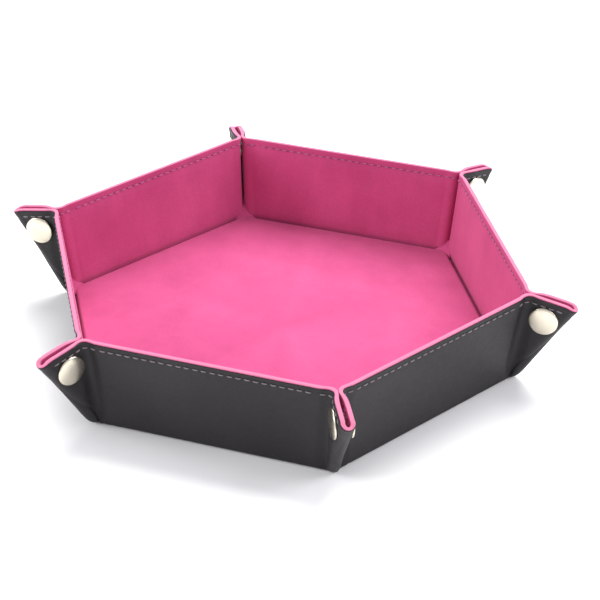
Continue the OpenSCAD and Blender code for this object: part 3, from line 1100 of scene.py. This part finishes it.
def lathe(profile, sides=72):
    """Closed solid of revolution about Z from (radius, height) pairs, starting and ending on the axis."""
    verts = [(0, 0, profile[0][1])]
    for radius, height in profile[1:-1]:
        for c in range(sides):
            a = 2 * math.pi * c / sides
            verts.append((radius * math.cos(a), radius * math.sin(a), height))
    end = len(verts)
    verts.append((0, 0, profile[-1][1]))
    rings = range(1, end, sides)
    faces = []
    for c in range(sides):
        d = (c + 1) % sides
        faces.append([0, rings[0] + c, rings[0] + d])
        for a, b in zip(rings, rings[1:]):
            faces.append([a + c, b + c, b + d, a + d])
        faces.append([rings[-1] + d, rings[-1] + c, end])
    return np.array(verts), faces


# thickness of the stud's flange, and the gap between it and the socket when they're closed
STUD_FLANGE, STUD_FLOAT = 0.4, 0.1
# the post and the flange, the room under the cap's rolled rim, and the radius of that roll
POST_R, FLANGE_R, UNDER_R, ROLL = 1.5, 4.5, 5.2, 0.52


def cap_profile():
    """Domed cap with a rolled rim, from the middle of its face out and round under the rim."""
    radius = CAP_WIDTH / 2
    crown = [(radius * 0.90 * t, CAP_THICK - 0.62 * t**2.4) for t in np.linspace(0, 1, 14)]
    turns = np.linspace(math.radians(62), math.radians(-90), 12)
    return crown + [(radius - ROLL + ROLL * math.cos(a), ROLL + ROLL * math.sin(a)) for a in turns]


def socket_profile():
    """From under the cap in to the post, through the sheets, and out and round the socket."""
    face = -SHEET
    end = face - (EAR_GAP - STUD_FLANGE - STUD_FLOAT)
    return [
        (UNDER_R, 0.0), (POST_R, 0.0), (POST_R, face), (4.3, face), (FLANGE_R, face - 0.2),
        (FLANGE_R, end + 0.2), (4.3, end), (2.4, end), (2.15, end + 0.25), (2.0, face - 0.35),
        (0, face - 0.35),
    ]


def stud_profile():
    """From under the cap in to the post, through the sheets, and out round the flange to the stud."""
    face = -SHEET
    return [
        (UNDER_R, 0.0), (POST_R, 0.0), (POST_R, face), (4.35, face), (FLANGE_R, face - 0.1),
        (FLANGE_R, face - 0.3), (4.3, face - STUD_FLANGE), (1.85, face - STUD_FLANGE), (1.55, face - 0.65),
        (1.68, face - 1.1), (1.6, face - 1.4), (1.25, face - 1.58), (0, face - 1.6),
    ]


def snap(name, k, half, inner):
    """Half a press stud of corner k: its cap, and the profile of all that is under the cap."""
    verts, faces = lathe(cap_profile() + inner)
    # the stud's own Z points out of the ear
    points = from_ear(CAP_P + verts[:, 0], FOLD_R + verts[:, 2], CAP_R - verts[:, 1])
    if half == "b":
        faces = [list(reversed(f)) for f in faces]
    obj = new_object(name, at_corner(k, points, half), faces, METAL, 35)
    return dress(obj, f"ear_{k}{half}")


for k in range(1, 7):
    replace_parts(snap(f"snap_socket_{k}", k, "b", socket_profile()), f"press_socket_{k}")
    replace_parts(snap(f"snap_stud_{k}", k, "a", stud_profile()), f"press_stud_{k}")

BOARDS = ["base_board"] + [f"wall_board_{k}" for k in range(1, 7)]
for obj in bpy.data.objects:
    if obj.name in BOARDS and obj.type == "MESH":
        for slot in obj.material_slots:
            slot.material = BOARD

# ---------- floor, light and camera ----------


def stage_floor():
    """Plain pale floor, just under the tray."""
    mesh = bpy.data.meshes.new("stage_floor")
    far, low = 6.0, -0.0003
    corners = [(-far, -far, low), (far, -far, low), (far, far, low), (-far, far, low)]
    mesh.from_pydata(corners, [], [(0, 1, 2, 3)])
    material = bpy.data.materials.new("pale_floor")
    material.use_nodes = True
    shader = material.node_tree.nodes["Principled BSDF"]
    shader.inputs["Base Color"].default_value = (0.95, 0.95, 0.96, 1)
    shader.inputs["Roughness"].default_value = 0.85
    shader.inputs["Specular IOR Level"].default_value = 0.1
    mesh.materials.append(material)
    put("stage_floor", mesh)


def area_light(name, place, target, size, power, colour):
    data = bpy.data.lights.new(name, "AREA")
    data.shape = "RECTANGLE"
    data.size, data.size_y = size
    data.energy = power
    data.color = colour
    obj = put(name, data)
    obj.location = place
    obj.rotation_euler = (Vector(target) - Vector(place)).to_track_quat("-Z", "Y").to_euler()


def lights():
    world = bpy.data.worlds.new("studio")
    world.use_nodes = True
    sky = world.node_tree.nodes["Background"]
    sky.inputs["Color"].default_value = (0.96, 0.96, 1.0, 1)
    sky.inputs["Strength"].default_value = 0.66
    bpy.context.scene.world = world
    area_light("key", (0.45, 0.75, 1.35), (0.0, 0.0, 0.0), (1.2, 1.0), 34.0, (1.0, 0.99, 0.975))
    area_light("left", (-1.3, 0.10, 0.60), (0.0, 0.0, 0.02), (0.8, 0.6), 12.0, (1.0, 1.0, 1.0))
    area_light("right", (1.2, -0.45, 0.95), (0.0, 0.0, 0.02), (0.8, 0.8), 11.0, (0.98, 0.98, 1.0))


def camera():
    """Stands where the photograph was taken from."""
    azimuth, elevation, distance, roll = math.radians(-11.64), math.radians(32.0), 0.8028, math.radians(0.474)
    target = Vector((0.01164, 0.02398, 0.0))
    back = Vector((
        math.sin(azimuth) * math.cos(elevation),
        -math.cos(azimuth) * math.cos(elevation),
        math.sin(elevation),
    ))
    right = (-back).cross(Vector((0, 0, 1))).normalized()
    up = back.cross(right)
    across = right * math.cos(roll) + up * math.sin(roll)
    above = up * math.cos(roll) - right * math.sin(roll)
    data = bpy.data.cameras.new("camera")
    data.sensor_width = 36.0
    data.lens = 111.96
    data.clip_start, data.clip_end = 0.01, 50
    pose = Matrix((across, above, back)).transposed().to_4x4()
    pose.translation = target + back * distance
    obj = put("camera", data)
    obj.matrix_world = pose
    bpy.context.scene.camera = obj


stage_floor()
lights()
camera()
bpy.context.scene.view_settings.view_transform = "Standard"
